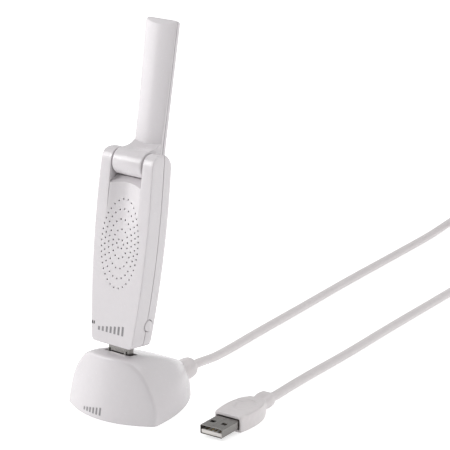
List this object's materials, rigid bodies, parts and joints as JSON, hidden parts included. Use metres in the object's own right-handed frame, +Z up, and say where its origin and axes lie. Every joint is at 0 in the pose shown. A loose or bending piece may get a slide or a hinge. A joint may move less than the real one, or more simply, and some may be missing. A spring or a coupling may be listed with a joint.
{
  "type": "usb wifi adapter",
  "caption": "White USB Wi-Fi adapter with a fold-up antenna, standing in a small desk cradle with a USB lead.",
  "frame": {"origin": "where the cradle's rubber pad rests on the desk, under the front face of the adapter's plug", "axes": "+Z up, -Y the front that carries the adapter's vents and mark, +X the side with the button"},
  "size_m": [0.0954, 0.4085, 0.1788],
  "materials": {
    "shell_white": "satin gloss",
    "cord_white": "soft satin PVC",
    "nickel": "dull nickel plate",
    "steel": "plain",
    "gold": "gold flash",
    "board": "solder mask",
    "chip": "moulded",
    "insulator": "moulded",
    "lens": "polished",
    "rubber": "matt"
  },
  "bodies": {
    "cradle": {"ballast_weight": "steel", "base_screw_left": "steel", "base_screw_right": "steel", "cable_clamp": "nickel", "cord_coil": "cord_white", "cord_from_cradle": "cord_white", "cord_tie": "chip", "cord_to_plug": "cord_white", "cradle_base": "shell_white", "cradle_housing": "shell_white", "plug_contact_1": "gold", "plug_contact_2": "gold", "plug_contact_3": "gold", "plug_contact_4": "gold", "plug_grip": "cord_white", "plug_shell": "nickel", "plug_tongue": "insulator", "rubber_pad": "rubber", "socket_board": "board", "socket_contact_1": "gold", "socket_contact_2": "gold", "socket_contact_3": "gold", "socket_contact_4": "gold", "socket_shell": "nickel", "socket_tongue": "insulator", "strain_relief": "cord_white"},
    "adapter": {"antenna_feed": "chip", "front_cover": "shell_white", "led_lens_1": "lens", "led_lens_2": "lens", "main_board": "board", "rear_cover": "shell_white", "shield_can": "nickel", "tact_switch": "chip", "usb_contact_1": "gold", "usb_contact_2": "gold", "usb_contact_3": "gold", "usb_contact_4": "gold", "usb_shell": "nickel", "usb_tongue": "insulator", "wifi_chip": "chip"},
    "button": {"side_button": "shell_white"},
    "antenna": {"antenna_back_shell": "shell_white", "antenna_element": "board", "antenna_front_shell": "shell_white", "hinge_pin_left": "steel", "hinge_pin_right": "steel", "hinge_washer_left": "insulator", "hinge_washer_right": "insulator"}
  },
  "joints": [
    {"name": "adapter_slide", "type": "slide", "parent": "cradle", "child": "adapter", "axis": [0, 0.1513, 0.9885], "range_m": [0, 0.012]},
    {"name": "button_press", "type": "slide", "parent": "adapter", "child": "button", "axis": [-1, 0, 0], "range_m": [0, 0.0006], "stiffness_N_per_m": 300, "springref_m": -0.0006},
    {"name": "antenna_hinge", "type": "hinge", "parent": "adapter", "child": "antenna", "pos_m": [0, 0.01373, 0.11604], "axis": [1, 0, 0], "range_deg": [0, 180]}
  ]
}
